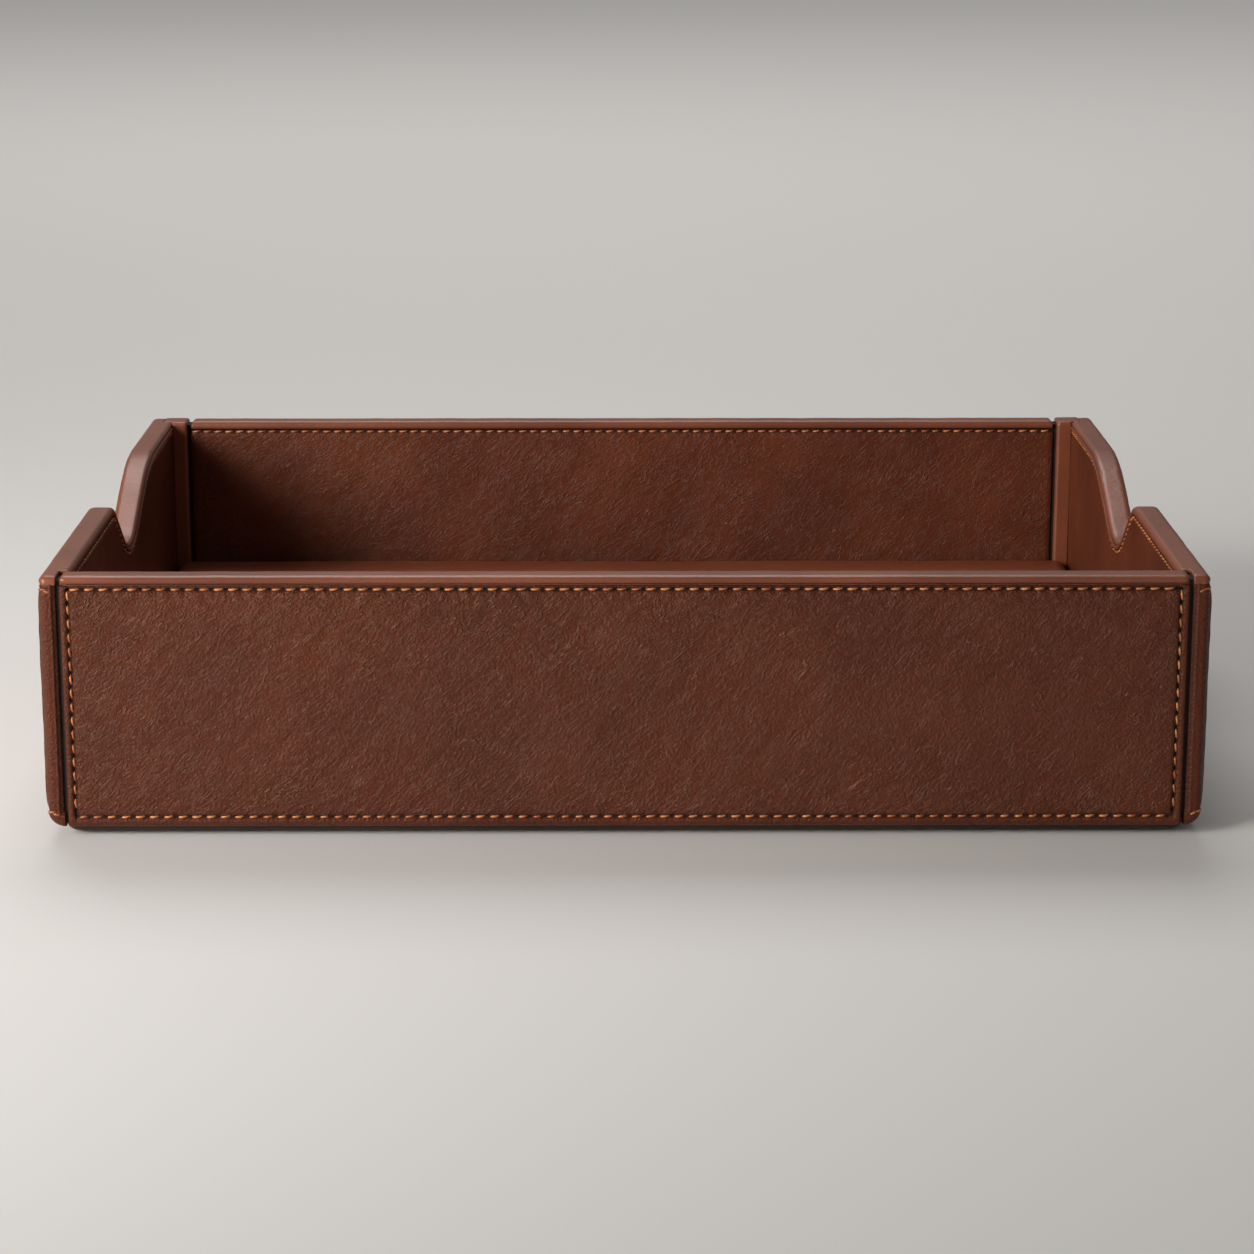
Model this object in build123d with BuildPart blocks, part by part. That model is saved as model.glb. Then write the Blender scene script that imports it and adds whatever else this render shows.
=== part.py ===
from build123d import *

import os
from math import cos, radians, sin

# Overall size of the tray, in millimetres. Front is towards -Y and the table is at Z = 0.
width = 330.0
depth = 244.0
height = 77.0

# Make-up of every wall, from the outside in
leather = 1.3
wall_board = 5.5
lining = 1.3

# Rounded edges of the leather
corner_radius = 2.2
side_foot_radius = 5.0
front_foot_radius = 2.2
rim_outer_radius = 2.0
rim_inner_radius = 1.6

# Finger scoop in each side wall. Its front flank is steeper than its back flank, and the
# back one runs out into the rim over a longer curve.
scoop_depth = 18.4
scoop_middle = 7.0
hollow_radius = 24.0
front_shoulder_radius = 12.0
front_flank_angle = 36.0
back_shoulder_radius = 70.0
back_flank_angle = 24.5

# How far the rim binding comes down each face, and the seams between leather edges
binding_leg = 2.6
seam = 0.3
front_groove = 0.9
back_groove = 1.2
side_end_width = 5.0
rabbet_inset = 0.4

# Straps folded over the rim in the two back corners
strap_width = 5.1
strap_proud = 1.5
strap_edge_radius = 1.0

# Raised floor
floor_height = 28.5
floor_leather = 1.0
floor_foam_thickness = 2.0
floor_board_thickness = 3.0
floor_gap = 2.0
floor_corner_radius = 3.0
floor_edge_radius = 2.0
cleat_width = 8.0

# Base
felt_thickness = 0.8
felt_inset = 5.0
base_leather = 1.0
base_flange = 1.4
base_plate = 3.8
base_inset = 4.0
base_corner_radius = 6.0
base_edge_radius = 1.8

# Pins in the four corner joints
pin_radius = 0.6
pin_length = 18.0
pin_heights = (16.0, 40.0, 64.0)

# Faces that the pieces share, measured from the middle of the tray
wall = leather + wall_board + lining
inner_x = width / 2 - wall
inner_y = depth / 2 - wall
board_inner_x = inner_x + lining
board_inner_y = inner_y + lining
board_outer_x = width / 2 - leather
board_outer_y = depth / 2 - leather
side_end_x = width / 2 - side_end_width
front_board_half = side_end_x - rabbet_inset
front_cover_half = side_end_x - front_groove
strap_inner_x = inner_x - strap_width
back_lining_half = strap_inner_x - back_groove

# Levels, measured from the table
wall_foot = felt_thickness + base_leather + base_flange
board_foot = wall_foot + leather
board_top = height - leather
binding_foot = height - binding_leg
lining_top = binding_foot - seam
base_top = wall_foot + base_plate
floor_board_bottom = floor_height - floor_leather - floor_foam_thickness - floor_board_thickness
foam_bottom = floor_board_bottom + floor_board_thickness
foam_top = foam_bottom + floor_foam_thickness

def scoop_reach(flank_angle, shoulder_radius):
    """How far a shoulder starts from the scoop's lowest point, with a straight flank between."""
    tilt = radians(flank_angle)
    radii = shoulder_radius + hollow_radius
    flank = (scoop_depth - radii * (1 - cos(tilt))) / sin(tilt)
    return radii * sin(tilt) + flank * cos(tilt)


def side_outline(drop, foot, half_length):
    """Draw a side wall's outline, with its top edge everywhere drop inside the rim."""
    hollow_level = height - scoop_depth + hollow_radius
    front_reach = scoop_reach(front_flank_angle, front_shoulder_radius)
    back_reach = scoop_reach(back_flank_angle, back_shoulder_radius)
    with BuildLine() as outline:
        hollow = CenterArc(
            (scoop_middle, hollow_level),
            hollow_radius + drop,
            -90 - front_flank_angle,
            front_flank_angle + back_flank_angle,
        )
        back_shoulder = CenterArc(
            (scoop_middle + back_reach, height - back_shoulder_radius),
            back_shoulder_radius - drop,
            90,
            back_flank_angle,
        )
        front_shoulder = CenterArc(
            (scoop_middle - front_reach, height - front_shoulder_radius),
            front_shoulder_radius - drop,
            90 - front_flank_angle,
            front_flank_angle,
        )
        Line(hollow @ 1, back_shoulder @ 1)
        Line(front_shoulder @ 0, hollow @ 0)
        Polyline(
            back_shoulder @ 0,
            (half_length, height - drop),
            (half_length, foot),
            (-half_length, foot),
            (-half_length, height - drop),
            front_shoulder @ 1,
        )
    make_face(outline.edges())


def block(low, high, mode=Mode.ADD):
    """A box between two opposite corners."""
    middle = tuple((a + b) / 2 for a, b in zip(low, high))
    with Locations(middle):
        Box(*[b - a for a, b in zip(low, high)], mode=mode)


# Fibreboard walls. The side boards run the whole depth, and the front and back boards sit
# in shallow rabbets at their ends.
with BuildPart() as side_core:
    with BuildSketch(Plane.YZ.offset(board_inner_x)):
        side_outline(leather, board_foot, board_outer_y)
    extrude(amount=wall_board)
    outer_edges = side_core.edges().group_by(Axis.X)[-1]
    fillet(outer_edges.filter_by(Axis.Y).sort_by(Axis.Z)[0], side_foot_radius - leather)
    fillet(side_core.edges().filter_by(Axis.Z).group_by(Axis.X)[-1], corner_radius - leather)

with BuildPart() as front_wall_board:
    block(
        (-front_board_half, -board_outer_y, board_foot),
        (front_board_half, -board_inner_y, board_top),
    )
    foot_edge = front_wall_board.edges().filter_by(Axis.X).group_by(Axis.Z)[0].sort_by(Axis.Y)[0]
    fillet(foot_edge, front_foot_radius - leather)

# Three pins a corner, driven through the side boards into the ends of the front and back
with BuildPart() as corner_pins:
    pin_y = (board_inner_y + board_outer_y) / 2
    pin_middle = board_outer_x - pin_length / 2
    with Locations(
        [
            Location((x, y, z), (0, 90, 0))
            for x in (-pin_middle, pin_middle)
            for y in (-pin_y, pin_y)
            for z in pin_heights
        ]
    ):
        Cylinder(pin_radius, pin_length)

with BuildPart() as right_wall_board:
    add(side_core.part)
    for end in (-1, 1):
        near, far = sorted((end * board_inner_y, end * depth / 2))
        block((0, near, 0), (front_board_half, far, height), mode=Mode.SUBTRACT)
    add(corner_pins.part, mode=Mode.SUBTRACT)

with BuildPart() as left_wall_board:
    mirror(right_wall_board.part, about=Plane.YZ)

front_blank = front_wall_board.part
with BuildPart() as back_wall_board:
    mirror(front_blank, about=Plane.XZ)
    add(corner_pins.part, mode=Mode.SUBTRACT)

with front_wall_board:
    add(corner_pins.part, mode=Mode.SUBTRACT)

# Leather covers on the outside. Each wraps round its board's foot, and the side covers
# turn round both ends of their boards as well.
with BuildPart() as right_outer_cover:
    with BuildSketch(Plane.YZ.offset(board_inner_x)):
        side_outline(binding_leg, wall_foot, depth / 2)
    extrude(amount=wall_board + leather)
    outer_edges = right_outer_cover.edges().group_by(Axis.X)[-1]
    fillet(outer_edges.filter_by(Axis.Y).sort_by(Axis.Z)[0], side_foot_radius)
    fillet(right_outer_cover.edges().filter_by(Axis.Z).group_by(Axis.X)[-1], corner_radius)
    add(side_core.part, mode=Mode.SUBTRACT)
    block((0, -depth, 0), (side_end_x, depth, height), mode=Mode.SUBTRACT)

with BuildPart() as left_outer_cover:
    mirror(right_outer_cover.part, about=Plane.YZ)

with BuildPart() as front_outer_cover:
    block(
        (-front_cover_half, -depth / 2, wall_foot),
        (front_cover_half, -board_inner_y, binding_foot),
    )
    foot_edge = front_outer_cover.edges().filter_by(Axis.X).group_by(Axis.Z)[0].sort_by(Axis.Y)[0]
    fillet(foot_edge, front_foot_radius)
    add(front_blank, mode=Mode.SUBTRACT)

with BuildPart() as back_outer_cover:
    mirror(front_outer_cover.part, about=Plane.XZ)

# Rim bindings: leather folded over the top edge of each wall. The side bindings give way
# to the front wall and to the corner straps.
with BuildPart() as right_rim_binding:
    with BuildSketch(Plane.YZ.offset(inner_x)):
        side_outline(0, wall_foot, depth / 2)
    extrude(amount=wall)
    fillet(right_rim_binding.edges().filter_by(Axis.Z).group_by(Axis.X)[-1], corner_radius)
    rim_faces = right_rim_binding.faces().filter_by(lambda face: face.normal_at().Z > 0.1)
    rim_edges = rim_faces.edges()
    outer_rim = rim_edges.filter_by(lambda edge: edge.center().X > side_end_x)
    inner_rim = rim_edges.filter_by(lambda edge: edge.center().X < inner_x + seam)
    fillet(outer_rim, rim_outer_radius)
    fillet(inner_rim, rim_inner_radius)
    with BuildSketch(Plane.YZ):
        side_outline(binding_leg, 0, depth)
    extrude(amount=width, mode=Mode.SUBTRACT)
    add(side_core.part, mode=Mode.SUBTRACT)
    for end in (-1, 1):
        near, far = sorted((end * inner_y, end * depth))
        block((0, near, 0), (side_end_x, far, 2 * height), mode=Mode.SUBTRACT)

with BuildPart() as left_rim_binding:
    mirror(right_rim_binding.part, about=Plane.YZ)

with BuildPart() as front_rim_binding:
    block((-front_cover_half, -depth / 2, wall_foot), (front_cover_half, -inner_y, height))
    end_edges = front_rim_binding.edges().filter_by(Axis.Z)
    fillet(end_edges, rim_inner_radius)
    top_face = front_rim_binding.faces().sort_by(Axis.Z)[-1]
    fillet(top_face.edges(), rim_inner_radius)
    block((-width, -depth, 0), (width, 0, binding_foot), mode=Mode.SUBTRACT)
    add(front_blank, mode=Mode.SUBTRACT)
    add(right_wall_board.part, mode=Mode.SUBTRACT)
    add(left_wall_board.part, mode=Mode.SUBTRACT)

with BuildPart() as back_rim_binding:
    block((-back_lining_half, inner_y, wall_foot), (back_lining_half, depth / 2, height))
    top_face = back_rim_binding.faces().sort_by(Axis.Z)[-1]
    fillet(top_face.edges(), rim_inner_radius)
    block((-width, 0, 0), (width, depth, binding_foot), mode=Mode.SUBTRACT)
    add(back_wall_board.part, mode=Mode.SUBTRACT)

# Leather linings on the inside, down to the battens that carry the floor
with BuildPart() as right_lining:
    with BuildSketch(Plane.YZ.offset(inner_x)):
        side_outline(binding_leg + seam, floor_board_bottom, inner_y)
    extrude(amount=lining)

with BuildPart() as left_lining:
    mirror(right_lining.part, about=Plane.YZ)

with BuildPart() as front_lining:
    block(
        (-board_inner_x, -board_inner_y, floor_board_bottom),
        (board_inner_x, -inner_y, lining_top),
    )

with BuildPart() as back_lining:
    block(
        (-back_lining_half, inner_y, floor_board_bottom),
        (back_lining_half, board_inner_y, lining_top),
    )

# Corner straps: a strip of side leather up each back corner and over the rim
with BuildPart() as right_corner_strap:
    block(
        (strap_inner_x, inner_y - strap_proud, floor_board_bottom),
        (side_end_x, depth / 2, height),
    )
    front_face = right_corner_strap.faces().sort_by(Axis.Y)[0]
    fillet(front_face.edges().group_by(Axis.Z)[-1], strap_edge_radius)
    free_edge = right_corner_strap.edges().filter_by(Axis.Z).group_by(Axis.X)[0].sort_by(Axis.Y)[0]
    fillet(free_edge, strap_edge_radius)
    block((0, board_inner_y, 0), (width, depth, binding_foot), mode=Mode.SUBTRACT)
    block((inner_x, 0, 0), (width, inner_y, height), mode=Mode.SUBTRACT)
    add(back_wall_board.part, mode=Mode.SUBTRACT)
    add(right_wall_board.part, mode=Mode.SUBTRACT)
    add(right_lining.part, mode=Mode.SUBTRACT)

with BuildPart() as left_corner_strap:
    mirror(right_corner_strap.part, about=Plane.YZ)

# Floor pad: a stiff board with thin foam on it, under one sheet of leather
pad_half_x = inner_x - floor_gap
pad_half_y = inner_y - floor_gap
with BuildPart() as floor_blank:
    with BuildSketch(Plane.XY.offset(floor_board_bottom)):
        RectangleRounded(2 * pad_half_x, 2 * pad_half_y, floor_corner_radius)
    extrude(amount=floor_height - floor_board_bottom)
    fillet(floor_blank.faces().sort_by(Axis.Z)[-1].edges(), floor_edge_radius)

with BuildPart() as floor_core:
    with BuildSketch(Plane.XY.offset(floor_board_bottom)):
        RectangleRounded(
            2 * (pad_half_x - floor_leather),
            2 * (pad_half_y - floor_leather),
            floor_corner_radius - floor_leather,
        )
    extrude(amount=foam_top - floor_board_bottom)
    fillet(floor_core.faces().sort_by(Axis.Z)[-1].edges(), floor_edge_radius - floor_leather)

with BuildPart() as floor_cover:
    add(floor_blank.part)
    add(floor_core.part, mode=Mode.SUBTRACT)

with BuildPart() as floor_board:
    add(floor_core.part)
    split(bisect_by=Plane.XY.offset(foam_bottom), keep=Keep.BOTTOM)

with BuildPart() as floor_foam:
    add(floor_core.part)
    split(bisect_by=Plane.XY.offset(foam_bottom), keep=Keep.TOP)

# Battens round the foot of the walls, between the base board and the floor pad
with BuildPart() as front_batten:
    block(
        (-board_inner_x, -board_inner_y, base_top),
        (board_inner_x, cleat_width - board_inner_y, floor_board_bottom),
    )

with BuildPart() as back_batten:
    mirror(front_batten.part, about=Plane.XZ)

with BuildPart() as right_batten:
    block(
        (board_inner_x - cleat_width, cleat_width - board_inner_y, base_top),
        (board_inner_x, board_inner_y - cleat_width, floor_board_bottom),
    )

with BuildPart() as left_batten:
    mirror(right_batten.part, about=Plane.YZ)

# Base: a board whose flange shows as a lip under the walls, its leather and the felt
lip_half_x = width / 2 - base_inset
lip_half_y = depth / 2 - base_inset
with BuildPart() as base_board:
    with BuildSketch(Plane.XY.offset(felt_thickness + base_leather)):
        RectangleRounded(
            2 * (lip_half_x - base_leather),
            2 * (lip_half_y - base_leather),
            base_corner_radius - base_leather,
        )
    extrude(amount=base_flange)
    block(
        (-board_inner_x, -board_inner_y, wall_foot),
        (board_inner_x, board_inner_y, base_top),
    )

with BuildPart() as base_cover:
    with BuildSketch(Plane.XY.offset(felt_thickness)):
        RectangleRounded(2 * lip_half_x, 2 * lip_half_y, base_corner_radius)
    extrude(amount=base_leather + base_flange)
    fillet(base_cover.faces().sort_by(Axis.Z)[0].edges(), base_edge_radius)
    add(base_board.part, mode=Mode.SUBTRACT)

with BuildPart() as base_felt:
    with BuildSketch():
        RectangleRounded(
            2 * (lip_half_x - felt_inset), 2 * (lip_half_y - felt_inset), base_corner_radius
        )
    extrude(amount=felt_thickness)

pieces = {
    "base_felt": base_felt,
    "base_cover": base_cover,
    "base_board": base_board,
    "front_batten": front_batten,
    "back_batten": back_batten,
    "left_batten": left_batten,
    "right_batten": right_batten,
    "front_wall_board": front_wall_board,
    "back_wall_board": back_wall_board,
    "left_wall_board": left_wall_board,
    "right_wall_board": right_wall_board,
    "corner_pins": corner_pins,
    "front_outer_cover": front_outer_cover,
    "back_outer_cover": back_outer_cover,
    "left_outer_cover": left_outer_cover,
    "right_outer_cover": right_outer_cover,
    "front_rim_binding": front_rim_binding,
    "back_rim_binding": back_rim_binding,
    "left_rim_binding": left_rim_binding,
    "right_rim_binding": right_rim_binding,
    "front_lining": front_lining,
    "back_lining": back_lining,
    "left_lining": left_lining,
    "right_lining": right_lining,
    "left_corner_strap": left_corner_strap,
    "right_corner_strap": right_corner_strap,
    "floor_board": floor_board,
    "floor_foam": floor_foam,
    "floor_cover": floor_cover,
}

os.makedirs("parts", exist_ok=True)
for name, piece in pieces.items():
    piece.part.label = name
    export_step(piece.part, f"parts/{name}.step")
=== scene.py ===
from math import cos, exp, pi, radians, sin, sqrt

import bpy
from mathutils import Matrix, Vector, noise


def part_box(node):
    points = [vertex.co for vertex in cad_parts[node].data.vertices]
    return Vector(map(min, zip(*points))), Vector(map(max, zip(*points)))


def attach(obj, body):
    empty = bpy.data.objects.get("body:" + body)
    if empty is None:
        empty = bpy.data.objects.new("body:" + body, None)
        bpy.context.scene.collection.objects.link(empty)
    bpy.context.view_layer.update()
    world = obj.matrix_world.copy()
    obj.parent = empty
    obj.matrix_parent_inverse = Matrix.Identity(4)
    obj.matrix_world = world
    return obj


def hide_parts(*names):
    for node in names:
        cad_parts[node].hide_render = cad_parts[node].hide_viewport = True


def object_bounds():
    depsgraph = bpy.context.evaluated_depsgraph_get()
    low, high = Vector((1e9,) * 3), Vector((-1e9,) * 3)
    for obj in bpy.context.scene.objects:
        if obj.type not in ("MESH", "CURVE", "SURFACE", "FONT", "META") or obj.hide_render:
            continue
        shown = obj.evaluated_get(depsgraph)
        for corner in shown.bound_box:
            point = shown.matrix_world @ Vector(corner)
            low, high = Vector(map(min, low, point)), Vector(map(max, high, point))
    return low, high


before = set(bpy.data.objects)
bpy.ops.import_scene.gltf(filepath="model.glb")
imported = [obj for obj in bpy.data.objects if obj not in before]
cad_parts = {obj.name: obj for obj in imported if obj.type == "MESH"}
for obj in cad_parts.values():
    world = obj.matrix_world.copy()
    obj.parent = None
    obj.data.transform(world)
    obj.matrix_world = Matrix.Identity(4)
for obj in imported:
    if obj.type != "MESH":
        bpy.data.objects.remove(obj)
cad_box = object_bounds()
mm = 0.001

# The table and the room.
# The tray stands on a plain pale sheet in a grey room. A window-like lamp stands low at the
# front left, turned towards the tray's left end, and a wide soft one hangs above and behind.


class Wire:
    """A shader socket that can stand in a sum, so that a pattern is written as arithmetic."""

    def __init__(self, recipe, socket):
        self.recipe = recipe
        self.socket = socket

    def __add__(self, other):
        return self.recipe.maths("ADD", self, other)

    def __radd__(self, other):
        return self.recipe.maths("ADD", other, self)

    def __sub__(self, other):
        return self.recipe.maths("SUBTRACT", self, other)

    def __rsub__(self, other):
        return self.recipe.maths("SUBTRACT", other, self)

    def __mul__(self, other):
        return self.recipe.maths("MULTIPLY", self, other)

    def __rmul__(self, other):
        return self.recipe.maths("MULTIPLY", other, self)

    def __abs__(self):
        return self.recipe.maths("ABSOLUTE", self)


class Recipe:
    """One material: its node tree, and the few ways in which nodes are added to it."""

    def __init__(self, name):
        self.material = bpy.data.materials.new(name)
        self.material.use_nodes = True
        self.tree = self.material.node_tree
        self.tree.nodes.clear()

    def node(self, kind, settings=None, sockets=None, output=0):
        made = self.tree.nodes.new(kind)
        for setting, value in (settings or {}).items():
            setattr(made, setting, value)
        for name, value in (sockets or {}).items():
            if isinstance(value, Wire):
                self.tree.links.new(value.socket, made.inputs[name])
            else:
                made.inputs[name].default_value = value
        return Wire(self, made.outputs[output]) if made.outputs else None

    def maths(self, operation, *values):
        sockets = dict(enumerate(values))
        return self.node("ShaderNodeMath", {"operation": operation}, sockets)

    def band(self, value, low, high):
        """0 below low, 1 above high, and a smooth rise between."""
        settings = {"interpolation_type": "SMOOTHSTEP"}
        return self.node(
            "ShaderNodeMapRange", settings, {"Value": value, "From Min": low, "From Max": high}
        )

    def blend(self, amount, first, second, way="MIX"):
        settings = {"data_type": "RGBA", "blend_type": way}
        return self.node("ShaderNodeMix", settings, {0: amount, 6: first, 7: second}, output=2)

    def cloud(self, where, scale, detail=2.0, roughness=0.5):
        sockets = {"Vector": where, "Scale": scale, "Detail": detail, "Roughness": roughness}
        return self.node("ShaderNodeTexNoise", None, sockets)

    def turned(self, where, turn=(0, 0, 0), stretch=(1, 1, 1), shift=(0, 0, 0)):
        sockets = {"Vector": where, "Rotation": turn, "Scale": stretch, "Location": shift}
        return self.node("ShaderNodeMapping", None, sockets)

    def pushed(self, where, scale, reach):
        """Places pushed about by a cloud of this scale, so that a pattern on them bends."""
        push = self.node("ShaderNodeTexNoise", None, {"Vector": where, "Scale": scale}, "Color")
        sockets = {0: push, 1: (reach, reach, reach), 2: where}
        return self.node("ShaderNodeVectorMath", {"operation": "MULTIPLY_ADD"}, sockets)

    def surface(self, **sockets):
        names = {
            name.replace("_", " ").title().replace("Ior", "IOR"): value
            for name, value in sockets.items()
        }
        shader = self.node("ShaderNodeBsdfPrincipled", None, names)
        self.node("ShaderNodeOutputMaterial", None, {"Surface": shader})
        return self.material


def finish_with(piece, material):
    """Give a piece one material and no other."""
    piece.data.materials.clear()
    piece.data.materials.append(material)
    return piece


table_grey = (0.70, 0.685, 0.665, 1)
table_grey_far = (0.67, 0.66, 0.645, 1)
table_grey_glow = (1.0, 0.96, 0.92, 1)
table_reach = 40.0
mottle_scale = 1.2
far_glow = 0.2
glow_starts = 0.1
glow_full = 3.2
recipe = Recipe("table_sheet")
room_place = recipe.node("ShaderNodeTexCoord", output="Object")
mottle = recipe.cloud(room_place, mottle_scale)
depth_place = recipe.node("ShaderNodeSeparateXYZ", None, {"Vector": room_place}, "Y")
seen = recipe.node("ShaderNodeLightPath", output="Is Camera Ray")
mirrored = recipe.node("ShaderNodeLightPath", output="Is Glossy Ray")
far = recipe.band(depth_place, glow_starts, glow_full) * far_glow
far = far * recipe.maths("MAXIMUM", seen, mirrored)
table_paper = recipe.surface(
    base_color=recipe.blend(mottle, table_grey, table_grey_far),
    roughness=0.9,
    emission_color=recipe.blend(far, (0, 0, 0, 1), table_grey_glow),
    emission_strength=1.0,
)
bpy.ops.object.select_all(action="DESELECT")
bpy.ops.mesh.primitive_plane_add(size=table_reach)
table_sheet = finish_with(bpy.context.object, table_paper)
table_sheet.name = "table_sheet"

room_grey = (0.80, 0.79, 0.78, 1)
room_level = 0.22
world = bpy.data.worlds.new("room")
bpy.context.scene.world = world
world.use_nodes = True
world.node_tree.nodes["Background"].inputs["Color"].default_value = room_grey
world.node_tree.nodes["Background"].inputs["Strength"].default_value = room_level


def hang_lamp(name, place, aim, size, power, spread, colour):
    """A square lamp turned towards a point. Its spread is how widely it shines."""
    lamp = bpy.data.lights.new(name, "AREA")
    lamp.spread = spread
    lamp.size = size
    lamp.energy = power
    lamp.color = colour
    hung = bpy.data.objects.new(name, lamp)
    hung.location = place
    hung.rotation_euler = (Vector(aim) - Vector(place)).to_track_quat("-Z", "Y").to_euler()
    bpy.context.scene.collection.objects.link(hung)


hang_lamp(
    "window",
    place=(-0.95, -0.78, 0.43),
    aim=(-0.35, -0.17, 0.03),
    size=0.6,
    power=3.8,
    spread=radians(68),
    colour=(1.0, 0.965, 0.92),
)
hang_lamp(
    "overhead",
    place=(-0.3, 1.5, 2.2),
    aim=(0, 0, 0.03),
    size=1.6,
    power=33.0,
    spread=pi,
    colour=(1.0, 0.985, 0.97),
)

bpy.context.scene.view_settings.view_transform = "Standard"
camera_place = (-0.003848, -1.03382, 0.29165)
camera_pitch = 0.24638
camera_yaw = 0.0048
camera_lens = 95.82
camera_sensor = 36.0
eye = bpy.data.cameras.new("eye")
eye.lens = camera_lens
eye.sensor_width = camera_sensor
camera = bpy.data.objects.new("eye", eye)
camera.location = camera_place
camera.rotation_euler = (pi / 2 - camera_pitch, 0, -camera_yaw)
bpy.context.scene.collection.objects.link(camera)
bpy.context.scene.camera = camera

# The base.
# A fibreboard plate with a thin flange, wrapped in dark leather and faced below with black
# felt. The flange shows as a dark lip under the walls.
fibre_scale = 900.0
# Painted shade: the board near its ends and its top is coloured near black, standing in for the
# shade in the grooves between the walls and under the bindings.
groove_shade_colour = (0.012, 0.006, 0.004, 1)
groove_shade_beyond_x = 0.147
groove_shade_above = 0.072
groove_shade_fade = 0.001


def plain_board(name, pale, dark):
    """Fibreboard: a pale brown felted surface with darker flecks, painted near black as shade
    where seams open on it.
    """
    recipe = Recipe(name)
    where = recipe.node("ShaderNodeTexCoord", output="Object")
    flecks = recipe.cloud(where, fibre_scale, 4.0, 0.7)
    patches = recipe.cloud(where, 40.0)
    tone = recipe.band(flecks * 0.7 + patches * 0.3, 0.35, 0.65)
    bump = recipe.node("ShaderNodeBump", None, {"Height": flecks, "Distance": 0.0001})
    across = recipe.node("ShaderNodeSeparateXYZ", None, {"Vector": where}, "X")
    up = recipe.node("ShaderNodeSeparateXYZ", None, {"Vector": where}, "Z")
    near_ends = recipe.band(abs(across), groove_shade_beyond_x, groove_shade_beyond_x + groove_shade_fade)
    near_rim = recipe.band(up, groove_shade_above, groove_shade_above + groove_shade_fade)
    # Painted shade in the grooves at the board's ends and top.
    groove_shade = recipe.maths("MAXIMUM", near_ends, near_rim)
    colour = recipe.blend(groove_shade, recipe.blend(tone, pale, dark), groove_shade_colour)
    return recipe.surface(base_color=colour, roughness=0.85, normal=bump)


def felt(name, dark, light):
    """Pressed felt: short black fibres that catch a little light."""
    recipe = Recipe(name)
    where = recipe.node("ShaderNodeTexCoord", output="Object")
    fibres = recipe.cloud(where, 2600.0, 5.0, 0.75)
    bump = recipe.node("ShaderNodeBump", None, {"Height": fibres, "Distance": 0.0003})
    return recipe.surface(
        base_color=recipe.blend(recipe.band(fibres, 0.4, 0.7), dark, light),
        roughness=0.95,
        sheen_weight=0.3,
        normal=bump,
    )


def planed_wood(name, pale, dark):
    """Planed softwood stained dark, with growth lines along each strip's length."""
    recipe = Recipe(name)
    where = recipe.node("ShaderNodeTexCoord", output="Object")
    stretched = recipe.turned(where, stretch=(0.15, 0.15, 1))
    lines = recipe.cloud(stretched, 900.0, 3.0, 0.6)
    bump = recipe.node("ShaderNodeBump", None, {"Height": lines, "Distance": 0.0001})
    return recipe.surface(
        base_color=recipe.blend(recipe.band(lines, 0.35, 0.65), pale, dark),
        roughness=0.7,
        normal=bump,
    )


def steel_wire(name):
    """Drawn steel wire with fine marks and a little tarnish."""
    recipe = Recipe(name)
    where = recipe.node("ShaderNodeTexCoord", output="Object")
    marks = recipe.cloud(where, 1500.0, 3.0)
    return recipe.surface(
        base_color=recipe.blend(marks, (0.5, 0.5, 0.51, 1), (0.62, 0.62, 0.63, 1)),
        roughness=recipe.band(marks, 0.0, 1.0) * 0.2 + 0.3,
        metallic=1.0,
    )


def soft_foam(name):
    """Open-celled foam sheet."""
    recipe = Recipe(name)
    where = recipe.node("ShaderNodeTexCoord", output="Object")
    cells = recipe.node("ShaderNodeTexVoronoi", None, {"Vector": where, "Scale": 1800.0})
    bump = recipe.node("ShaderNodeBump", None, {"Height": cells, "Distance": 0.0003})
    return recipe.surface(
        base_color=recipe.blend(cells, (0.78, 0.74, 0.62, 1), (0.6, 0.56, 0.46, 1)),
        roughness=0.95,
        normal=bump,
    )


# Colour of the painted shade in stitched gutters and the other places the seam attribute marks.
seam_shade_colour = (0.010, 0.0035, 0.002, 1)
pebble_scale = 1250.0
pebble_warp_scale = 300.0
pebble_warp = 0.0011
fine_grain_scale = 3400.0
fold_scale = 300.0
thin_fold_scale = 760.0
fold_stretch = 0.24
fold_bend_scale = 38.0
fold_bend = 0.009
ridge_width = 0.022
thin_ridge_width = 0.05


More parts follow.
